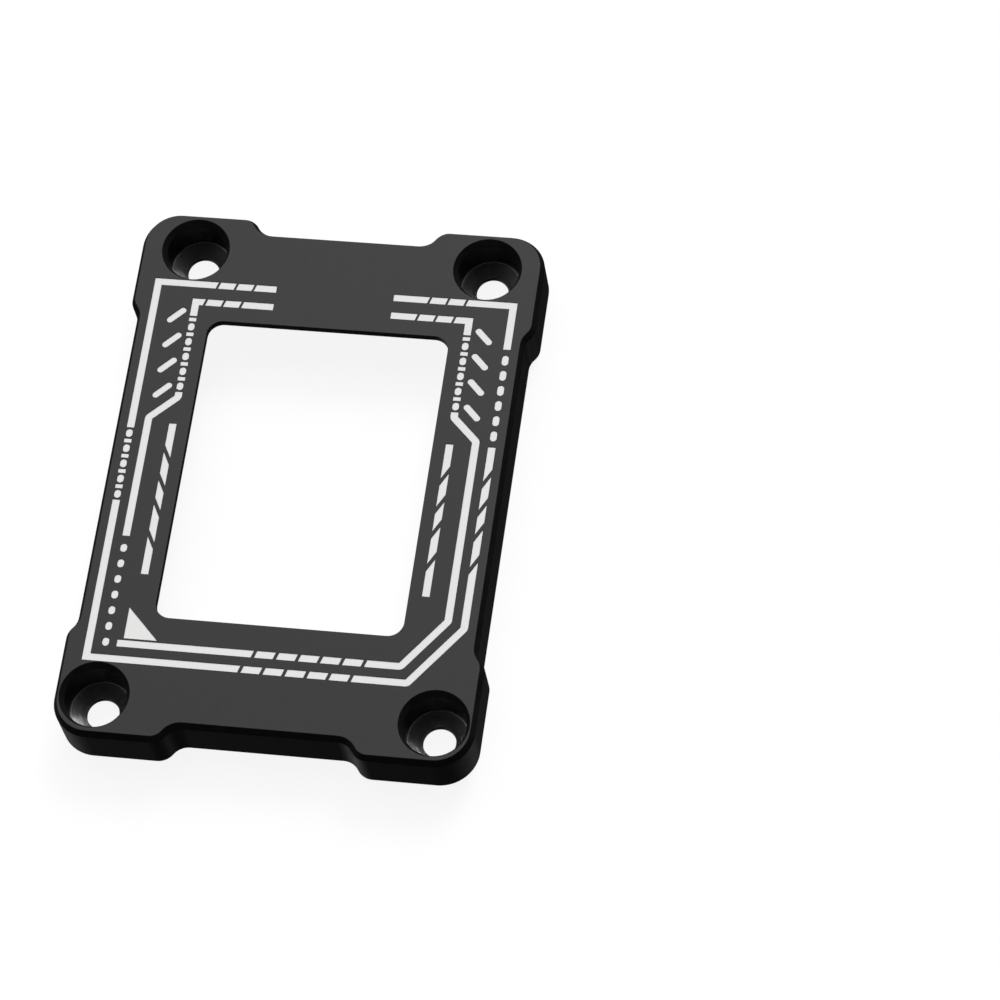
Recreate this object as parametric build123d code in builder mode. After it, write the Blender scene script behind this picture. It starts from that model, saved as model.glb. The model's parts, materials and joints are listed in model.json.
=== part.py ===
"""Retention frame that holds a processor down in its socket, milled from one aluminium plate.

It lies flat on its underside. The origin is the middle of the underside, +X is to the right,
+Y runs to the rear, where the two screws stand closer together, and +Z is up. Millimetres.
"""

import math
import os

from build123d import *

# Plate: what is left around the screw bores sets its length and width
plate_thickness = 6.4
ear_side_land = 0.14
ear_end_land = 0.39
ear_corner_radius = 4.6
edge_chamfer_width = 0.5
edge_chamfer_height = 0.9

# Waists: the shallow steps in the four edges between the screw ears
end_waist_length = 18.6
end_waist_depth = 2.07
side_waist_length = 40.4
side_waist_depth = 1.06
waist_blend_radius = 2.2

# Screw holes: a bore for the head, a conical seat and a short screw hole below it
front_hole_spacing = 40.8
rear_hole_spacing = 36.7
hole_row_spacing = 60.7
head_bore_radius = 3.76
seat_cone_angle = 118.0
screw_hole_radius = 2.0
screw_hole_land = 0.7

# Window over the processor's lid, and the thin lip round it that presses on the lid's edge
window_width = 30.1
window_length = 40.3
window_corner_radius = 1.9
window_shift = 0.43
lip_thickness = 1.0

# Underside: a pocket for the processor's package inside a wider one for the socket body
package_width = 37.5
package_length = 45.0
package_clearance = 0.4
package_corner_radius = 1.5
socket_pocket_depth = 3.2
socket_corner_radius = 3.0
socket_side_wall = 2.75
socket_bore_wall = 0.9

# Trim: pale lines round the window, marked a hair's breadth into the top face
trim_depth = 0.05
trim_width = 0.92
trim_bend_radius = 0.92
trim_rim_gap = 0.11
trim_edge_gap = 1.03
trim_window_gap = 1.59
rear_trim_pitch = 2.47
front_trim_pitch = 2.06
side_trim_pitch = 2.03
rear_trim_break = 14.7
inner_leg_length = 2.0
outer_leg_length = 6.07
jog_lead = 0.75
jog_drop = 3.0
middle_line_end = -9.4
side_bar_top = 6.1
inner_bar_length = 20.35
corner_cut_angle = 52.5
outer_corner_y = -18.0
middle_corner_y = -17.2
front_line_start = -18.85

# Beads: bars and dots in turn along a line of the trim
bead_pitch = 1.035
bead_gap = 0.22
bead_bar_height = 0.55
bead_dot_length = 1.09
inner_bead_count = 10
outer_bead_count = 9
outer_beads_top = 4.37

# Loose dots and pills beside the lines
pill_width = 0.82
dot_pitch = 2.07
middle_dot_count = 7
middle_dots_top = -11.0
side_pill_count = 6
side_pill_length = 1.39
side_pills_top = 17.95
slant_pill_count = 4
slant_pill_length = 2.8
slant_pill_pitch = 3.49
slant_pill_drop = 2.05
slant_pill_offset = 2.09

# Slanted cuts that part the lines into dashes
trim_cut_length = 2.95
dash_lean = 17.5
rear_dash_count = 3
rear_dash_gap = 0.27
rear_dash_pitch = 2.26
rear_outer_dashes = (-14.68, 11.83)
rear_inner_dashes = (-15.9, 10.66)
front_dash_count = 6
front_dash_gap = 0.38
front_dash_pitch = 2.65
front_outer_dash = -3.5
front_inner_dash = -2.2
slash_lean = 28.5
slash_gap = 0.45
slash_places = (1.8, -2.0, -5.3, -9.6)

# Corner mark: the triangle beside the processor's first contact
corner_mark_size = 4.1
corner_mark_inset = 0.7
corner_mark_gap = 0.2

# Sizes that follow from the ones above
rim_radius = head_bore_radius + edge_chamfer_width
ear_half_width = front_hole_spacing / 2 + rim_radius + ear_side_land + edge_chamfer_width
ear_half_length = hole_row_spacing / 2 + rim_radius + ear_end_land + edge_chamfer_width
end_waist_y = ear_half_length - end_waist_depth
side_waist_x = ear_half_width - side_waist_depth
seat_cone_height = (head_bore_radius - screw_hole_radius) / math.tan(math.radians(seat_cone_angle / 2))
seat_cone_top = screw_hole_land + seat_cone_height
package_pocket_width = package_width + 2 * package_clearance
package_pocket_length = package_length + 2 * package_clearance
socket_pocket_width = 2 * (side_waist_x - socket_side_wall)
socket_pocket_length = 2 * (hole_row_spacing / 2 - head_bore_radius - socket_bore_wall - window_shift)
outer_line_x = side_waist_x - edge_chamfer_width - trim_edge_gap - trim_width / 2
middle_line_x = outer_line_x - side_trim_pitch
inner_line_x = window_width / 2 + trim_window_gap + trim_width / 2
outer_line_y = hole_row_spacing / 2 - rim_radius - trim_rim_gap - trim_width / 2
rear_line_y = outer_line_y - rear_trim_pitch
front_line_y = front_trim_pitch - outer_line_y
inner_beads_top = rear_line_y - inner_leg_length - bead_gap - bead_bar_height / 2
jog_top = inner_beads_top - (inner_bead_count - 1) * bead_pitch - bead_dot_length / 2 - bead_gap
outer_line_top = outer_beads_top - (outer_bead_count - 1) * bead_pitch - bead_dot_length / 2 - bead_gap
corner_mark_x = front_line_start + corner_mark_inset
corner_mark_y = front_line_y + trim_width / 2 + corner_mark_gap
cut_overrun = plate_thickness

hole_places = [
    (-front_hole_spacing / 2, -hole_row_spacing / 2),
    (front_hole_spacing / 2, -hole_row_spacing / 2),
    (-rear_hole_spacing / 2, hole_row_spacing / 2),
    (rear_hole_spacing / 2, hole_row_spacing / 2),
]


def step_turn(depth):
    """Degrees that each of the two arcs of a waist's step turns to go that deep."""
    return math.degrees(math.acos(1 - depth / (2 * waist_blend_radius)))


def step_run(depth):
    """How far along the edge a waist's step runs."""
    return 2 * waist_blend_radius * math.sin(math.radians(step_turn(depth)))


def column(x, top, pitch, count):
    """Places down a column, from its top."""
    return [(x, top - place * pitch) for place in range(count)]


def row(start, y, pitch, count):
    """Places along a row, from its left end."""
    return [(start + place * pitch, y) for place in range(count)]


def line_mark(*points):
    """A trim line through these points, with sharp corners."""
    with BuildLine(mode=Mode.PRIVATE) as path:
        Polyline(*points)
    trace(path.line, trim_width)


def bent_mark(sketch, *points):
    """A trim line through these points, with each bend rounded on its outer side."""
    line_mark(*points)
    for before, bend, after in zip(points, points[1:], points[2:]):
        inner_side = (Vector(before) + Vector(after)) / 2
        corners = sketch.vertices().sort_by_distance(bend)[:2]
        fillet(corners.sort_by_distance(inner_side)[-1], radius=trim_bend_radius)


def corner_foot(x, y, line_y):
    """Where a line that leaves (x, y) at the cut corner's angle comes down to a front line."""
    return (x - (y - line_y) / math.tan(math.radians(corner_cut_angle)), line_y)


def slanted_cuts(places, gap, lean):
    """Cuts across the lines, with their tops leaning to the right."""
    with Locations(*places):
        Rectangle(gap, trim_cut_length, rotation=-lean, mode=Mode.SUBTRACT)


def pill_marks(places, length, turn=90):
    """Round-ended marks, turned this far from lying along X."""
    with Locations(*places):
        SlotOverall(length, pill_width, rotation=turn)


def bead_marks(bar_places, dot_places):
    """Short bars and dots that take turns along a line."""
    with Locations(*bar_places):
        Rectangle(trim_width, bead_bar_height)
    pill_marks(dot_places, bead_dot_length)


# Trim, drawn on the top face
with BuildSketch(Plane.XY.offset(plate_thickness)) as trim:
    # Lines that are alike on the left and the right
    for side in (-1, 1):
        line_mark(
            (side * rear_trim_break / 2, rear_line_y),
            (side * inner_line_x, rear_line_y),
            (side * inner_line_x, rear_line_y - inner_leg_length),
        )
        line_mark(
            (side * inner_line_x, side_bar_top),
            (side * inner_line_x, side_bar_top - inner_bar_length),
        )
        bent_mark(
            trim,
            (side * inner_line_x, jog_top),
            (side * inner_line_x, jog_top - jog_lead),
            (side * middle_line_x, jog_top - jog_lead - jog_drop),
            (side * middle_line_x, middle_line_end),
        )

    # Outer line of the left side, parted by its beads
    line_mark(
        (-rear_trim_break / 2, outer_line_y),
        (-outer_line_x, outer_line_y),
        (-outer_line_x, outer_beads_top + bead_dot_length / 2 + bead_gap),
    )
    line_mark((-outer_line_x, outer_line_top), (-outer_line_x, -outer_line_y), (0, -outer_line_y))

    # Outer line of the right side, and both lines that run up it from the front over the cut corner
    line_mark(
        (rear_trim_break / 2, outer_line_y),
        (outer_line_x, outer_line_y),
        (outer_line_x, outer_line_y - outer_leg_length),
    )
    bent_mark(
        trim,
        (0, -outer_line_y),
        corner_foot(outer_line_x, outer_corner_y, -outer_line_y),
        (outer_line_x, outer_corner_y),
        (outer_line_x, side_bar_top),
    )
    bent_mark(
        trim,
        (front_line_start, front_line_y),
        corner_foot(middle_line_x, middle_corner_y, front_line_y),
        (middle_line_x, middle_corner_y),
        (middle_line_x, middle_line_end),
    )

    # Cuts that part the lines into dashes
    for start in rear_outer_dashes:
        slanted_cuts(row(start, outer_line_y, rear_dash_pitch, rear_dash_count), rear_dash_gap, dash_lean)
    for start in rear_inner_dashes:
        slanted_cuts(row(start, rear_line_y, rear_dash_pitch, rear_dash_count), rear_dash_gap, dash_lean)
    for start, line_y in ((front_outer_dash, -outer_line_y), (front_inner_dash, front_line_y)):
        slanted_cuts(row(start, line_y, front_dash_pitch, front_dash_count), front_dash_gap, dash_lean)
    for slash_y in slash_places:
        slanted_cuts([(inner_line_x, slash_y), (outer_line_x, slash_y)], slash_gap, slash_lean)
        slanted_cuts([(-inner_line_x, slash_y)], slash_gap, -slash_lean)

    # Beads, loose dots, and upright and slanted pills
    outer_beads = column(-outer_line_x, outer_beads_top, bead_pitch, outer_bead_count)
    bead_marks(outer_beads[1::2], outer_beads[0::2])
    pill_marks(column(-middle_line_x, middle_dots_top, dot_pitch, middle_dot_count), bead_dot_length)
    pill_marks(column(outer_line_x, side_pills_top, dot_pitch, side_pill_count), side_pill_length)
    for side in (-1, 1):
        inner_beads = column(side * inner_line_x, inner_beads_top, bead_pitch, inner_bead_count)
        bead_marks(inner_beads[0::2], inner_beads[1::2])
        slant_x = side * (inner_line_x + slant_pill_offset)
        slant_places = column(slant_x, rear_line_y - slant_pill_drop, slant_pill_pitch, slant_pill_count)
        pill_marks(slant_places, slant_pill_length, turn=-side * 45)

    # Corner mark
    with BuildLine():
        Polyline(
            (corner_mark_x, corner_mark_y),
            (corner_mark_x + corner_mark_size, corner_mark_y),
            (corner_mark_x, corner_mark_y + corner_mark_size),
            close=True,
        )
    make_face()

# One screw hole, as the profile that a stepped cutter leaves
with BuildPart() as screw_hole:
    with BuildSketch(Plane.XZ):
        with BuildLine():
            Polyline(
                (0, -cut_overrun),
                (screw_hole_radius, -cut_overrun),
                (screw_hole_radius, screw_hole_land),
                (head_bore_radius, seat_cone_top),
                (head_bore_radius, plate_thickness - edge_chamfer_height),
                (rim_radius, plate_thickness),
                (rim_radius, plate_thickness + cut_overrun),
                (0, plate_thickness + cut_overrun),
                close=True,
            )
        make_face()
    revolve(axis=Axis.Z)

with BuildPart() as retention_frame:
    # Outline: a quarter of it is drawn from the front waist to the right one, then mirrored
    with BuildSketch():
        with BuildLine():
            end_turn = step_turn(end_waist_depth)
            side_turn = step_turn(side_waist_depth)
            ear_side_start = side_waist_length / 2 + step_run(side_waist_depth)
            end_waist = Line((0, -end_waist_y), (end_waist_length / 2, -end_waist_y))
            step_out = JernArc(end_waist @ 1, end_waist % 1, waist_blend_radius, -end_turn)
            step_along = JernArc(step_out @ 1, step_out % 1, waist_blend_radius, end_turn)
            ear_end = Line(step_along @ 1, (ear_half_width - ear_corner_radius, -ear_half_length))
            ear_corner = JernArc(ear_end @ 1, ear_end % 1, ear_corner_radius, 90)
            ear_side = Line(ear_corner @ 1, (ear_half_width, -ear_side_start))
            step_in = JernArc(ear_side @ 1, ear_side % 1, waist_blend_radius, side_turn)
            step_up = JernArc(step_in @ 1, step_in % 1, waist_blend_radius, -side_turn)
            Line(step_up @ 1, (side_waist_x, 0))
            mirror(about=Plane.XZ)
            mirror(about=Plane.YZ)
        make_face()
    extrude(amount=plate_thickness)

    # Steep chamfer all round the top edge
    top_face = retention_frame.faces().sort_by(Axis.Z)[-1]
    chamfer(
        top_face.outer_wire().edges(),
        length=edge_chamfer_width,
        length2=edge_chamfer_height,
        reference=top_face,
    )

    # Socket pocket, package pocket and window, each cut from the underside through the last
    with BuildSketch():
        with Locations((0, window_shift)):
            RectangleRounded(socket_pocket_width, socket_pocket_length, socket_corner_radius)
    extrude(amount=socket_pocket_depth, mode=Mode.SUBTRACT)
    with BuildSketch():
        with Locations((0, window_shift)):
            RectangleRounded(package_pocket_width, package_pocket_length, package_corner_radius)
    extrude(amount=plate_thickness - lip_thickness, mode=Mode.SUBTRACT)
    with BuildSketch():
        with Locations((0, window_shift)):
            RectangleRounded(window_width, window_length, window_corner_radius)
    extrude(amount=plate_thickness, mode=Mode.SUBTRACT)

    # Screw holes
    with Locations(*hole_places):
        add(screw_hole.part, mode=Mode.SUBTRACT)

    # Trim
    extrude(trim.sketch, amount=-trim_depth, mode=Mode.SUBTRACT)

retention_frame.part.label = "retention_frame"

os.makedirs("parts", exist_ok=True)
export_step(retention_frame.part, "parts/retention_frame.step")
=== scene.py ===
# %% [markdown]
# A retention frame holds a processor flat in its socket. This one is milled from a single aluminium
# plate, blasted to a fine matt skin, anodised black, and then marked by a laser with a pale trim of
# lines, dashes and dots round its window. The solid comes from the CAD model and stays as it is here.
# This lesson gives that solid its camera, its light and its finish.

# %% Load the frame
import json
import math

import bpy
from mathutils import Matrix, Vector


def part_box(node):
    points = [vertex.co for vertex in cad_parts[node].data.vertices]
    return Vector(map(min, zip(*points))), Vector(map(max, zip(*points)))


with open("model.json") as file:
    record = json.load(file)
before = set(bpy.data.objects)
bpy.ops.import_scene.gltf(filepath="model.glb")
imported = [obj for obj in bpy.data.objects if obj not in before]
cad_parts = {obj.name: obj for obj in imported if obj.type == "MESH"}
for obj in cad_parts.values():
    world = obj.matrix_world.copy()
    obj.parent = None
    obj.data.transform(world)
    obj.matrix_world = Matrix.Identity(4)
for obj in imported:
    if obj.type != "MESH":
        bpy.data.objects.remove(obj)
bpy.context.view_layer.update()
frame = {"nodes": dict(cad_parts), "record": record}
plate = frame["nodes"]["retention_frame"]
plate_low, plate_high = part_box("retention_frame")
mm = 0.001
print("plate size in mm:", [round(side / mm, 2) for side in plate_high - plate_low])

# %% [markdown]
# The camera looks down on the plate from the front right. It stands half a metre off with a long lens,
# so that lines which are parallel on the plate stay almost parallel in the picture. Its pose could be
# one matrix, or a constraint that points it at an empty. Here an aim, a distance, two angles and a roll
# say all of it, because each of them can be read off and changed by hand.

# %% Camera
aim_point = Vector((24.19 * mm, -0.84 * mm, plate_high.z))
view_distance = 518.8 * mm
view_azimuth = math.radians(19.516)
view_elevation = math.radians(62.868)
view_roll = math.radians(-13.11)
lens_length = 156.42
sensor_width = 36.0


def direction_to(azimuth, elevation):
    """Unit vector from the plate out to a place at these angles; azimuth 0 is the front."""
    level = math.cos(elevation)
    return Vector((math.sin(azimuth) * level, -math.cos(azimuth) * level, math.sin(elevation)))


to_camera = direction_to(view_azimuth, view_elevation)
upright_view = to_camera.to_track_quat("Z", "Y").to_matrix().to_4x4()
camera = bpy.data.objects.new("camera", bpy.data.cameras.new("camera"))
camera.data.sensor_width = sensor_width
camera.data.sensor_fit = "HORIZONTAL"
camera.data.lens = lens_length
camera.matrix_world = (
    Matrix.Translation(aim_point + view_distance * to_camera)
    @ upright_view
    @ Matrix.Rotation(view_roll, 4, "Z")
)
bpy.context.scene.collection.objects.link(camera)
bpy.context.scene.camera = camera
print("camera stands at, in mm:", [round(value / mm, 1) for value in camera.matrix_world.translation])

# %% [markdown]
# Every material below is a small tree of nodes, and so is the light. A few helpers keep those trees
# short: one sets or links the inputs of a node, one places a new node, one does a step of arithmetic,
# and one leads a value smoothly from one level to another.

# %% Helpers for node trees


def feed(tree, node, inputs):
    """Set each of these inputs of a node, or link it where the value is a socket."""
    for name, value in inputs.items():
        if isinstance(value, bpy.types.NodeSocket):
            tree.links.new(value, node.inputs[name])
        else:
            node.inputs[name].default_value = value


def put(tree, kind, inputs=None, **settings):
    """Place a node with these settings and inputs."""
    node = tree.nodes.new(kind)
    for name, value in settings.items():
        setattr(node, name, value)
    feed(tree, node, inputs or {})
    return node


def reckon(tree, operation, *values):
    """One step of arithmetic."""
    return put(tree, "ShaderNodeMath", dict(enumerate(values)), operation=operation).outputs[0]


def fade(tree, value, start, end, low=0.0, high=1.0):
    """Lead a value smoothly from low at start to high at end."""
    inputs = {"Value": value, "From Min": start, "From Max": end, "To Min": low, "To Max": high}
    return put(tree, "ShaderNodeMapRange", inputs, interpolation_type="SMOOTHSTEP").outputs["Result"]


# %% [markdown]
# Black anodising shows light more than colour. The top face looks grey because it mirrors a wide soft
# glow above and behind the plate, and the walls look black because they mirror a dark room. A small
# lamp under the glow puts a gleam on the screw seats. Dim cards, low at the left and the right, are what
# the rounded corners and the steps mirror, and one behind gives the far walls a rim. A faint band above
# the horizon keeps the top readable from the other sides.
#
# Area lamps could do this, but close by they fall off across the table. Here all lights are soft spots
# in the world, which light plate and table evenly: the closer a direction lies to the middle of a spot,
# the brighter it is. Each spot has its middle, the cosines of the angles where it ends and where it is
# at full strength, and that strength. The heights are those of a direction, from -1 to 1.

# %% Lights of the studio
glow_centre = direction_to(view_azimuth + math.pi, math.radians(54))
soft_spots = {
    "glow above and behind": (glow_centre, 0.76, 0.98, 2.65),
    "small lamp behind": (Vector((0.17, 0.75, 0.64)), 0.970, 0.996, 20.0),
    "low card left": (Vector((-0.50, 0.03, -0.89)), 0.91, 0.98, 0.19),
    "low card right": (Vector((0.17, 0.12, -0.89)), 0.965, 0.997, 0.33),
    "dim card left": (Vector((-0.90, -0.30, -0.30)), 0.85, 0.97, 0.04),
    "rim card behind": (Vector((-0.25, 0.95, 0.15)), 0.75, 0.97, 0.5),
}
room_light = 0.004
light_from_below = 0.025
below_start, below_full = -0.4, -0.8
horizon_light = 0.50
band_start, band_full = 0.12, 0.26
band_fall, band_end = 0.48, 0.60
backdrop_white = 0.97
print("soft lights:", list(soft_spots))

# %% [markdown]
# The world adds these lights up for each direction. Only the camera sees a plain white backdrop
# instead of them, which the Light Path node tells apart, so the picture keeps a clean ground while the
# plate still mirrors the dark room.

# %% World
world = bpy.data.worlds.new("studio")
bpy.context.scene.world = world
world.use_nodes = True
sky = world.node_tree
sky.nodes.clear()
direction = put(sky, "ShaderNodeTexCoord").outputs["Generated"]
height = put(sky, "ShaderNodeSeparateXYZ", {0: direction}).outputs["Z"]
light = fade(sky, height, below_start, below_full, room_light, room_light + light_from_below)
above_horizon = fade(sky, height, band_start, band_full, 0.0, horizon_light)
under_glow = fade(sky, height, band_end, band_fall)
light = reckon(sky, "MULTIPLY_ADD", above_horizon, under_glow, light)
for name, (centre, edge, core, strength) in soft_spots.items():
    towards = {0: direction, 1: centre.normalized()}
    facing = put(sky, "ShaderNodeVectorMath", towards, operation="DOT_PRODUCT", label=name)
    light = reckon(sky, "ADD", light, fade(sky, facing.outputs["Value"], edge, core, 0.0, strength))
studio = put(sky, "ShaderNodeBackground", {"Color": (1, 1, 1, 1), "Strength": light})
backdrop = put(sky, "ShaderNodeBackground", {"Color": (1, 1, 1, 1), "Strength": backdrop_white})
seen = put(sky, "ShaderNodeLightPath").outputs["Is Camera Ray"]
mix = put(sky, "ShaderNodeMixShader", {0: seen, 1: studio.outputs[0], 2: backdrop.outputs[0]})
put(sky, "ShaderNodeOutputWorld", {"Surface": mix.outputs[0]})
bpy.context.scene.view_settings.view_transform = "Standard"
print("world:", len(sky.nodes), "nodes")

# %% [markdown]
# Blasted metal and a matt acrylic table share one effect: a fine grain with broader, fainter patches.
# A picture of grain would blur close up and need unwrapping. So both layers are noise in the object's
# own space, in metres, and keep their true size whatever the view. The effect is a node group: each
# material places it once and gives it its own sizes.

# %% Grain, shared by the plate and the table


def grain_group():
    """Node group: a fine grain and broad patches, both about 0.5."""
    tree = bpy.data.node_groups.new("fine_grain", "ShaderNodeTree")
    for name in ("Grain Size", "Patch Size"):
        tree.interface.new_socket(name, in_out="INPUT", socket_type="NodeSocketFloat")
    for name in ("Grain", "Patches"):
        tree.interface.new_socket(name, in_out="OUTPUT", socket_type="NodeSocketFloat")
    sizes = put(tree, "NodeGroupInput").outputs
    place = put(tree, "ShaderNodeTexCoord").outputs["Object"]
    layers = {}
    for layer, size, detail in (("Grain", "Grain Size", 2.0), ("Patches", "Patch Size", 3.0)):
        scale = reckon(tree, "DIVIDE", 1.0, sizes[size])
        noise = put(tree, "ShaderNodeTexNoise", {"Vector": place, "Scale": scale, "Detail": detail})
        layers[layer] = noise.outputs["Fac"]
    put(tree, "NodeGroupOutput", layers)
    return tree


def place_grain(tree, grain_size, patch_size):
    """Place the grain in a material, at these sizes."""
    sizes = {"Grain Size": grain_size, "Patch Size": patch_size}
    return put(tree, "ShaderNodeGroup", sizes, node_tree=fine_grain).outputs


fine_grain = grain_group()
print("group:", fine_grain.name, [socket.name for socket in fine_grain.interface.items_tree])

# %% [markdown]
# The table is a sheet of white acrylic that is lit from within, as for cut-out product pictures, so
# the screw holes and the window show white. Some of its light still comes from above, which leaves a
# faint shadow where the plate touches it. A plain white floor would need strong light to look as white,
# and that would turn the black walls grey. For the same reason the table is hidden from reflections,
# and it casts no shadow, so that the low cards can reach the plate. From below it is clear.

# %% Table finish
table_pale = 0.11
table_patchiness = 0.004
table_glow = 0.89
table_roughness = 0.8
table_grain = 0.4 * mm
table_patch = 30 * mm
table_relief = 0.05 * mm
table_relief_strength = 0.1


def new_finish(name):
    """A new material, with its node tree and its shader."""
    material = bpy.data.materials.new(name)
    material.use_nodes = True
    return material, material.node_tree, material.node_tree.nodes["Principled BSDF"]


def table_finish():
    """Matt white acrylic with light behind it."""
    material, tree, shader = new_finish("white_acrylic")
    grain = place_grain(tree, table_grain, table_patch)
    darkest, palest = table_pale - table_patchiness, table_pale + table_patchiness
    tone = fade(tree, grain["Patches"], 0.2, 0.8, darkest, palest)
    colour = put(tree, "ShaderNodeCombineColor", {"Red": tone, "Green": tone, "Blue": tone})
    uneven = {"Height": grain["Grain"], "Strength": table_relief_strength, "Distance": table_relief}
    feed(tree, shader, {
        "Base Color": colour.outputs[0],
        "Normal": put(tree, "ShaderNodeBump", uneven).outputs[0],
        "Roughness": table_roughness,
        "Specular IOR Level": 0.0,
        "Emission Color": (1, 1, 1, 1),
        "Emission Strength": table_glow,
    })
    clear = put(tree, "ShaderNodeBsdfTransparent")
    under = put(tree, "ShaderNodeNewGeometry").outputs["Backfacing"]
    one_sided = put(tree, "ShaderNodeMixShader", {0: under, 1: shader.outputs[0], 2: clear.outputs[0]})
    feed(tree, tree.nodes["Material Output"], {"Surface": one_sided.outputs[0]})
    return material


# %% Table
table_size = 6.0
half = table_size / 2
table_corners = [(-half, -half, 0), (half, -half, 0), (half, half, 0), (-half, half, 0)]
table_mesh = bpy.data.meshes.new("table")
table_mesh.from_pydata(table_corners, [], [(0, 1, 2, 3)])
table_mesh.materials.append(table_finish())
table = bpy.data.objects.new("table", table_mesh)
table.location.z = plate_low.z
table.visible_glossy = False
table.visible_diffuse = False
table.visible_shadow = False
bpy.context.scene.collection.objects.link(table)
print("table:", table_size, "m wide")

# %% [markdown]
# The laser burns the dye out of the anodised skin and leaves a pale, slightly rough trace a few
# hundredths of a millimetre below the top face. A painted mask could show it, but its edges would
# blur. The CAD model has those traces as shallow recesses, so the finish can tell them from the black
# skin by height alone: a surface that faces up and lies one mark's depth under the top is marked. That
# keeps every edge of the trim as sharp as the solid.

# %% Where the laser has been
heights = sorted({round(vertex.co.z, 6) for vertex in plate.data.vertices})
mark_level = heights[-2]
mark_depth = plate_high.z - mark_level
mark_margin = 0.4 * mark_depth
level_facing = 0.9
print("the trim lies", round(mark_depth / mm, 3), "mm under the top face")


def every(tree, mask, *others):
    """1 where all of these masks are 1."""
    for other in others:
        mask = reckon(tree, "MULTIPLY", mask, other)
    return mask


def laser_mask(tree, height, facing_up):
    """1 on the floors of the trim, 0 elsewhere."""
    under_top = reckon(tree, "LESS_THAN", height, plate_high.z - mark_margin)
    above_rest = reckon(tree, "GREATER_THAN", height, mark_level - mark_margin)
    return every(tree, under_top, above_rest, reckon(tree, "GREATER_THAN", facing_up, level_facing))


# %% [markdown]
# The screw holes are turned with a form tool. Their walls and seats keep the tool's fine rings and a
# dark lustre, since the metal under the dye is smooth there, and the seats are the brightest. Where the
# straight bore meets the conical seat, the tool leaves a narrow flat, and its pale colour is a painted
# highlight, a thin bright arc of reflected light.
# Where the bore starts and ends could be typed in, but it is read from the mesh, so that it follows the
# solid: of all the corners near one hole's axis, the bore has the tallest stretch without any between.

# %% Heights in a screw hole
hole_reach = 4.2 * mm
rim_margin = 0.10 * mm
flat_rise = 0.098 * mm
screw_rows = [mount for mount in frame["record"]["mounts"] if mount["kind"] == "bolt_pattern"]


def half_spacing(row):
    """Distance of a row's two hole axes from the plate's middle."""
    return row["dims"]["spacing_x_mm"] / 2 * mm


hole_axis = Vector((half_spacing(screw_rows[0]), screw_rows[0]["pos_m"][1]))
near_hole = [spot.co for spot in plate.data.vertices if (spot.co.xy - hole_axis).length < hole_reach]
levels = sorted({round(spot.z, 6) for spot in near_hole})
seat_edge, bore_rim = max(zip(levels, levels[1:]), key=lambda stretch: stretch[1] - stretch[0])
print("bores reach from", round(seat_edge / mm, 2), "to", round(bore_rim / mm, 2), "mm")

# %% [markdown]
# Cut into the mesh, the turning rings would take thousands of faces. Here they are noise that runs
# with the distance from the hole's axis and with height, so that it follows bore and seat alike. They
# are too fine to be seen one by one, but their slopes spread the gleam along the seat. The holes lie in
# two rows about the middle, so folding the plate's left half over its right one leaves one axis to a
# row.

# %% Turned screw holes
ring_pitch = 0.03 * mm
seat_facing = 0.5
ceiling_facing = -0.5


def distance_to_row(tree, place, row):
    """Distance of a surface point from the nearer of a row's two hole axes."""
    from_axis = reckon(tree, "SUBTRACT", reckon(tree, "ABSOLUTE", place["X"]), half_spacing(row))
    from_row = reckon(tree, "SUBTRACT", place["Y"], row["pos_m"][1])
    squares = [reckon(tree, "MULTIPLY", value, value) for value in (from_axis, from_row)]
    return reckon(tree, "SQRT", reckon(tree, "ADD", *squares))


def turned_holes(tree, place, facing_up):
    """Masks of the zones in the screw holes, and the uneven height of their rings."""
    distance = reckon(tree, "MINIMUM", *(distance_to_row(tree, place, row) for row in screw_rows))
    inside = reckon(tree, "LESS_THAN", distance, hole_reach)
    upper_side = reckon(tree, "GREATER_THAN", facing_up, ceiling_facing)
    under_rim = reckon(tree, "LESS_THAN", place["Z"], bore_rim - rim_margin)
    bored = every(tree, inside, upper_side, under_rim)
    sloping = every(tree, bored, reckon(tree, "GREATER_THAN", facing_up, seat_facing))
    # The flat is a band at the top of the seat; its pale colour is a painted highlight, a bright arc of
    # reflected light.
    flat = every(tree, sloping, reckon(tree, "GREATER_THAN", place["Z"], seat_edge - flat_rise))
    zones = {
        "bore": bored,
        "flat": flat,
        "seat": reckon(tree, "SUBTRACT", sloping, flat),
        "lustrous": reckon(tree, "SUBTRACT", bored, flat),
    }
    along = reckon(tree, "DIVIDE", reckon(tree, "ADD", distance, place["Z"]), ring_pitch)
    wave = {"W": along, "Scale": 1.0, "Detail": 1.0}
    return zones, put(tree, "ShaderNodeTexNoise", wave, noise_dimensions="1D").outputs["Fac"]


# %% [markdown]
# Dye and oxide are thinnest on sharp edges, and fingers polish them first. A Bevel modifier would
# change the mesh, so this is left to the Bevel node, which gives the normal that a tiny rounding would
# have. Where it leans away from the true normal there is an edge, so the same node both softens the
# edge for the light and says where it is. The edges of the trim are left out, since the laser cuts
# them last.

# %% Rounded, slightly polished edges
edge_rounding = 0.07 * mm
edge_start, edge_full = 0.995, 0.86


def worn_edges(tree, true_normal, facing_up):
    """Normal with the edges rounded, and a mask of the worn edges."""
    rounded = put(tree, "ShaderNodeBevel", {"Radius": edge_rounding}, samples=6).outputs["Normal"]
    leaning = put(tree, "ShaderNodeVectorMath", {0: rounded, 1: true_normal}, operation="DOT_PRODUCT")
    edge = fade(tree, leaning.outputs["Value"], edge_start, edge_full)
    return rounded, every(tree, edge, reckon(tree, "LESS_THAN", facing_up, level_facing))


# %% [markdown]
# The laser goes over its marks in close parallel passes, which leave a fine hatch. A sine across the
# diagonal is enough for it, because a pass is narrower than the eye can tell from any usual distance.

# %% Hatch of the laser marks
hatch_pitch = 0.08 * mm


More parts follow.
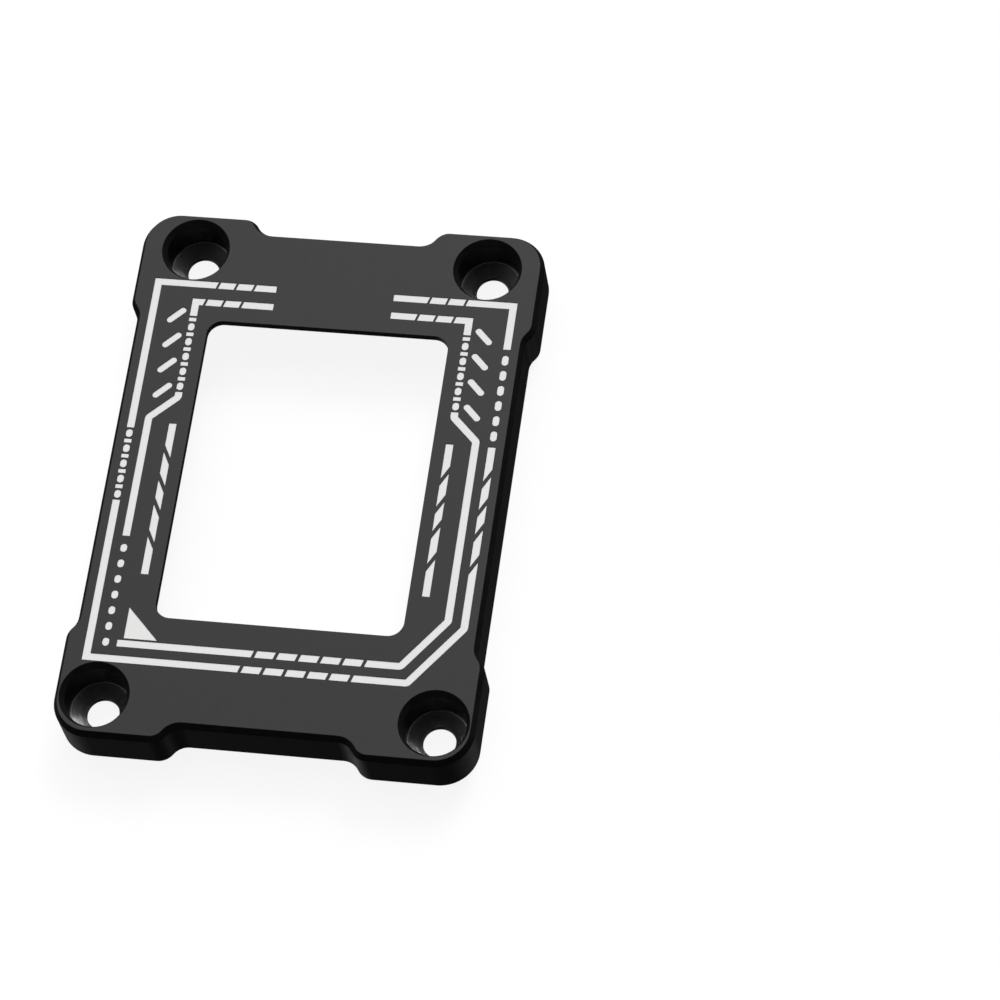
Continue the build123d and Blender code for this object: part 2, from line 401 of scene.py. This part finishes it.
def laser_hatch(tree, place):
    """Bands across the diagonal, one for each pass of the laser."""
    across = reckon(tree, "ADD", place["X"], place["Y"])
    turns = reckon(tree, "MULTIPLY", across, math.tau / (hatch_pitch * math.sqrt(2)))
    return reckon(tree, "MULTIPLY_ADD", reckon(tree, "SINE", turns), 0.5, 0.5)


# %% [markdown]
# Black dye over blasted metal is almost neutral, a shade cool, and varies by a few per cent from place
# to place, and its roughness varies with the same patches. The marks are pale grey and duller. Colour
# and roughness start from that skin, and each zone in turn is blended over it. One material with masks
# is easier to keep in step with the solid than several materials on hand-picked faces.

# %% Colours and roughness of each zone
dye_dark = (0.0062, 0.0063, 0.0066, 1)
dye_light = (0.0082, 0.0083, 0.0087, 1)
zone_colours = {
    "worn": (0.020, 0.020, 0.021, 1),
    # Pale flat: a painted highlight, a thin bright arc of reflected light painted into the colour.
    "flat": (0.720, 0.720, 0.725, 1),
    "lustrous": (0.060, 0.060, 0.061, 1),
    "seat": (0.400, 0.400, 0.405, 1),
}
mark_dull = (0.670, 0.670, 0.665, 1)
mark_bright = (0.715, 0.715, 0.710, 1)
skin_smoothest, skin_roughest = 0.34, 0.39
zone_roughness = {"bore": 0.33, "seat": 0.28, "worn": 0.32, "marked": 0.62}

# The Mix node has a pair of inputs and an output for each kind of data, told apart by number alone.
mix_sockets = {"FLOAT": (2, 3, 0), "VECTOR": (4, 5, 1), "RGBA": (6, 7, 2)}


def blend(tree, kind, mask, first, second):
    """First where the mask is 0, second where it is 1."""
    a, b, result = mix_sockets[kind]
    return put(tree, "ShaderNodeMix", {0: mask, a: first, b: second}, data_type=kind).outputs[result]


def finish_colour(tree, zones, patches, hatch):
    """Patchy black dye, then each zone's own colour over it, with a painted highlight on the flat, then
    the marks.
    """
    colour = blend(tree, "RGBA", fade(tree, patches, 0.3, 0.7), dye_dark, dye_light)
    for zone, tone in zone_colours.items():
        colour = blend(tree, "RGBA", zones[zone], colour, tone)
    mark = blend(tree, "RGBA", hatch, mark_dull, mark_bright)
    return blend(tree, "RGBA", zones["marked"], colour, mark)


def finish_roughness(tree, zones, patches):
    """Patchy blasted skin, then each zone's own roughness over it."""
    roughness = fade(tree, patches, 0.25, 0.75, skin_smoothest, skin_roughest)
    for zone, value in zone_roughness.items():
        roughness = blend(tree, "FLOAT", zones[zone], roughness, value)
    return roughness


# %% [markdown]
# Grain, rings and hatch differ in height, not only in tone, so they go to one Bump node on top of the
# rounded normal. The flat, whose pale colour is a painted highlight, is too narrow for the mesh: its
# normal is simply turned straight up.

# %% Relief of the skin
relief = 0.0025 * mm
ring_relief = 2.2
straight_up = (0, 0, 1)


def finish_normal(tree, zones, grain, rings, hatch, rounded):
    """Normal of the skin with its grain, of the holes with their rings, and of the level flats."""
    height = blend(tree, "FLOAT", zones["bore"], grain, reckon(tree, "MULTIPLY", rings, ring_relief))
    height = blend(tree, "FLOAT", zones["marked"], height, hatch)
    bump = put(tree, "ShaderNodeBump", {"Height": height, "Distance": relief, "Normal": rounded})
    return blend(tree, "VECTOR", zones["flat"], bump.outputs[0], straight_up)


# %% [markdown]
# The finish puts these parts together in one shader. Bore walls and seats count as metal, since their
# gleam comes from the metal under the thin dye, and the rest counts as dyed oxide. The index of
# refraction is set lower than that of solid oxide, because the blasted skin traps part of its gleam
# between its bumps.

# %% Black anodised finish with laser marks
blast_grain = 0.07 * mm
blast_patch = 1.6 * mm
oxide_index = 1.315


def anodised_finish():
    """Black anodised, blasted aluminium with turned holes and pale laser marks."""
    material, tree, shader = new_finish("black_anodised_finish")
    spot = put(tree, "ShaderNodeTexCoord").outputs["Object"]
    place = put(tree, "ShaderNodeSeparateXYZ", {0: spot}).outputs
    true_normal = put(tree, "ShaderNodeNewGeometry").outputs["True Normal"]
    facing_up = put(tree, "ShaderNodeSeparateXYZ", {0: true_normal}).outputs["Z"]
    grain = place_grain(tree, blast_grain, blast_patch)
    zones, rings = turned_holes(tree, place, facing_up)
    zones["marked"] = laser_mask(tree, place["Z"], facing_up)
    rounded, zones["worn"] = worn_edges(tree, true_normal, facing_up)
    hatch = laser_hatch(tree, place)
    feed(tree, shader, {
        "Base Color": finish_colour(tree, zones, grain["Patches"], hatch),
        "Metallic": zones["lustrous"],
        "Roughness": finish_roughness(tree, zones, grain["Patches"]),
        "Normal": finish_normal(tree, zones, grain["Grain"], rings, hatch, rounded),
        "IOR": oxide_index,
    })
    return material


plate.data.materials[0] = anodised_finish()
print("finish on the plate:", [slot.material.name for slot in plate.material_slots])
